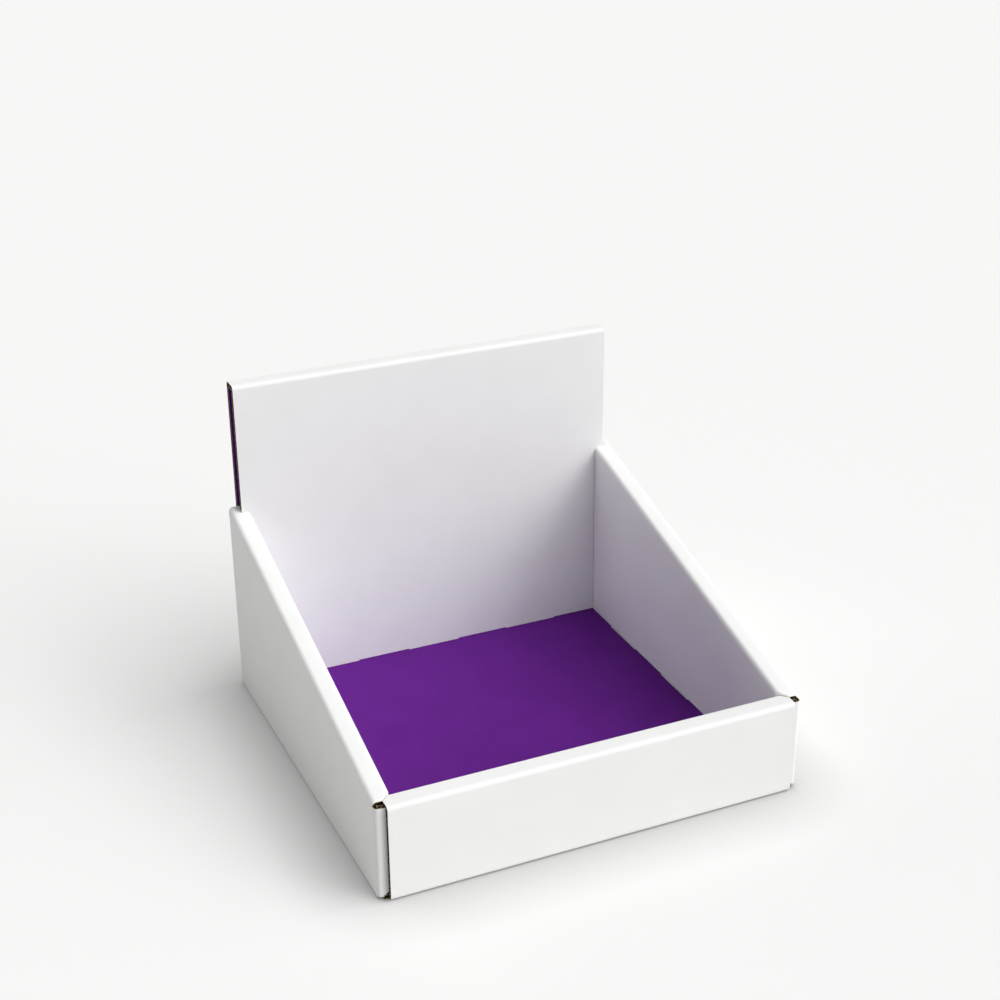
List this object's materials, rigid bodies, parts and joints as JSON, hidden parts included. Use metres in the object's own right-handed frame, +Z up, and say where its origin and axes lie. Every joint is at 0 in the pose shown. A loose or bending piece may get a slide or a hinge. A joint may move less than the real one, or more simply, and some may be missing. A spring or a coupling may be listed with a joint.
{
  "type": "cardboard display tray",
  "caption": "Folded corrugated counter display tray with sloping double side walls, low double front wall and tall double header.",
  "frame": {"origin": "centre of the tray's underside, on the surface that it stands on", "axes": "+Z up, +X to the right seen from the front, -Y towards the front wall and +Y towards the header"},
  "size_m": [0.3, 0.298, 0.238],
  "materials": {
    "board": "matte printed liner"
  },
  "bodies": {
    "root": {"folded_tray": "board"}
  },
  "joints": []
}
